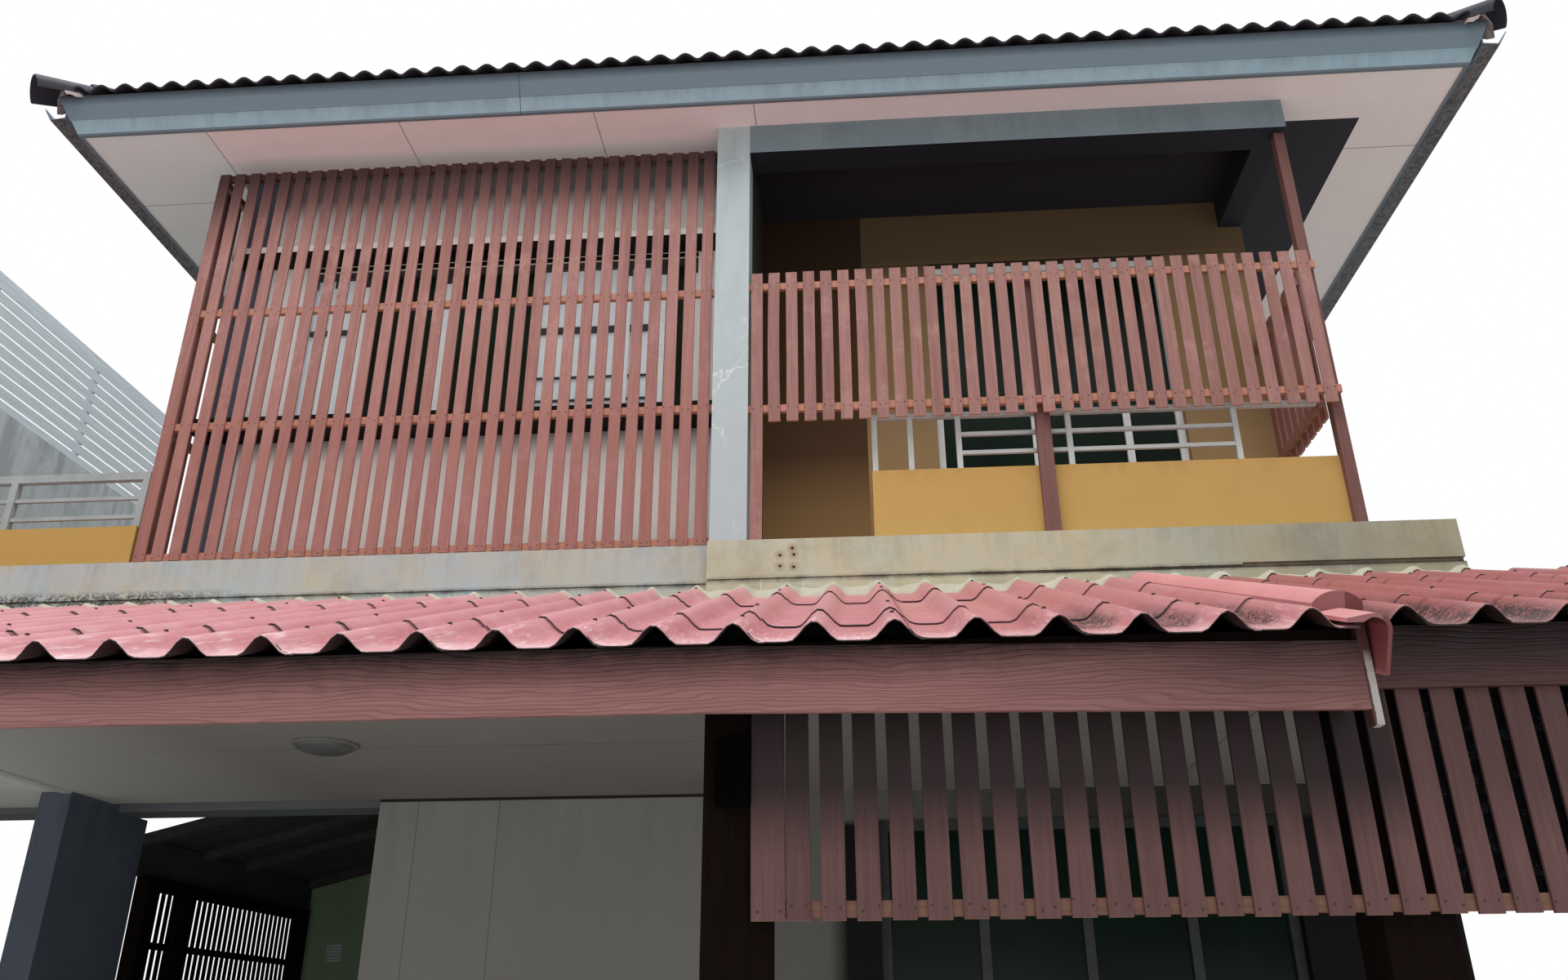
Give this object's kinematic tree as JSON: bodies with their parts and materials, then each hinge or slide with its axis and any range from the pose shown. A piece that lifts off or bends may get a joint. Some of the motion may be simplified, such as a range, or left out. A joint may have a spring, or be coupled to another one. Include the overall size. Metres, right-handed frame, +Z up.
{
  "type": "semi-detached house",
  "caption": "Two-storey house with a hip roof, tall brown slat screens, a recessed balcony and a lean-to carport roof of wave-profile sheets.",
  "frame": {"origin": "at ground level on the ground slab's bottom face, under the middle of the main roof's width, on the front face of the tall slat screen", "axes": "+X to the right along the front, +Y into the house, +Z up"},
  "size_m": [10.3885, 9.8759, 8.8007],
  "materials": {
    "cast_concrete": "weathered cast concrete with stains and lichen",
    "ledge_concrete": "stained cement render with drips and patches",
    "blue_render": "pale painted render with hairline cracks",
    "grey_render": "light grey painted render",
    "carport_render": "grey painted board wall",
    "ochre_render": "ochre painted render",
    "green_render": "greenish painted render",
    "party_render": "grey render with rain streaks",
    "roof_tile": "matt concrete tile, grey brown",
    "roof_cap": "matt grey cap tile bedded in mortar",
    "barge_tile": "matt red-brown cap tile bedded in mortar",
    "lean_to_sheet": "faded pinkish red fibre-cement sheet",
    "fascia_board": "brown painted grained board",
    "eave_board": "blue-grey painted board",
    "pier_paint": "dark blue-grey painted render",
    "fence_board": "grey weathered boards on posts",
    "slat_paint": "brown painted timber slats with bare ends",
    "lower_slat_paint": "brown painted timber slats",
    "post_paint": "dark brown painted post",
    "soffit_board": "pinkish painted ceiling boards",
    "dark_ceiling": "nearly black painted boards",
    "carport_board": "grey-beige painted ceiling boards",
    "white_frame": "white powder-coated aluminium",
    "railing_steel": "grey and white painted steel",
    "purlin_steel": "dark painted steel",
    "gutter_metal": "pale folded metal",
    "dark_glass": "dark green tinted glass",
    "light_bowl": "white opal bowl",
    "lamp_case": "dark lamp case"
  },
  "bodies": {
    "root": {"ground_slab": "cast_concrete", "lower_front_wall": "carport_render", "lower_side_walls": "green_render", "lower_back_wall": "grey_render", "lower_door_frame": "white_frame", "corner_piers": "pier_paint", "passage_screen": "post_paint", "passage_roof": "purlin_steel", "party_wall": "party_render", "party_wall_fence": "fence_board", "edge_beam_left": "ledge_concrete", "edge_beam_right": "ledge_concrete", "upper_floors": "cast_concrete", "terrace_parapet": "ochre_render", "terrace_railing": "railing_steel", "room_front_wall": "grey_render", "room_window_frame": "white_frame", "upper_side_walls": "grey_render", "upper_back_wall": "grey_render", "front_column": "blue_render", "balcony_beam": "blue_render", "balcony_side_wall": "ochre_render", "balcony_back_wall": "ochre_render", "balcony_door_frame": "white_frame", "glass_panes": "dark_glass", "balcony_parapet": "ochre_render", "balcony_railing": "railing_steel", "balcony_posts": "post_paint", "room_slat_screen": "slat_paint", "balcony_slat_screen": "slat_paint", "side_screens": "slat_paint", "lower_slat_screen": "lower_slat_paint", "soffit": "soffit_board", "balcony_ceiling": "dark_ceiling", "eave_fascia": "eave_board", "main_roof": "roof_tile", "roof_caps": "roof_cap", "side_gutters": "gutter_metal", "lean_to_roof": "lean_to_sheet", "lean_to_verge_cap": "barge_tile", "lean_to_fascia": "fascia_board", "lean_to_frame": "post_paint", "carport_ceiling": "carport_board", "ceiling_light": "light_bowl", "post_lamp": "lamp_case"}
  },
  "joints": []
}
